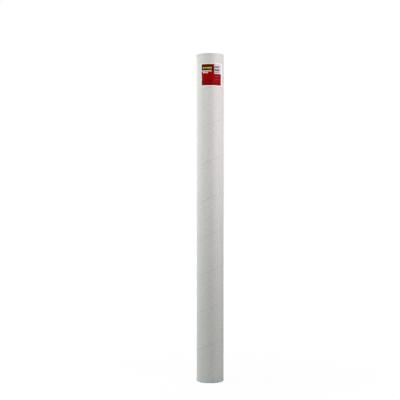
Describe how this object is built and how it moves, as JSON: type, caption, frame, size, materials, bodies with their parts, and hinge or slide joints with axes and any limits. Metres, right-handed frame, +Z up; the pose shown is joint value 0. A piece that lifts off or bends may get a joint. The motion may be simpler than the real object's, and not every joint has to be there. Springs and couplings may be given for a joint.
{
  "type": "mailing tube",
  "caption": "Tall white spiral-wound cardboard mailing tube, closed at each end by a push-in moulded plug, with a paper label wrapped round it near the top.",
  "frame": {"origin": "centre of the circle that the lower plug's rim stands on", "axes": "+Z up along the tube's axis, -Y towards the front, where the label is"},
  "size_m": [0.1036, 0.1036, 1.2292],
  "materials": {
    "paperboard": "matte",
    "plug_plastic": "satin",
    "label_paper": "satin"
  },
  "bodies": {
    "tube": {"tube_body": "paperboard", "label": "label_paper"},
    "top_plug": {"top_plug": "plug_plastic"},
    "bottom_plug": {"bottom_plug": "plug_plastic"}
  },
  "joints": [
    {"name": "top_plug_pull", "type": "slide", "parent": "tube", "child": "top_plug", "axis": [0, 0, 1], "range_m": [0, 0.15]},
    {"name": "bottom_plug_pull", "type": "slide", "parent": "tube", "child": "bottom_plug", "axis": [0, 0, -1], "range_m": [0, 0.15]}
  ]
}
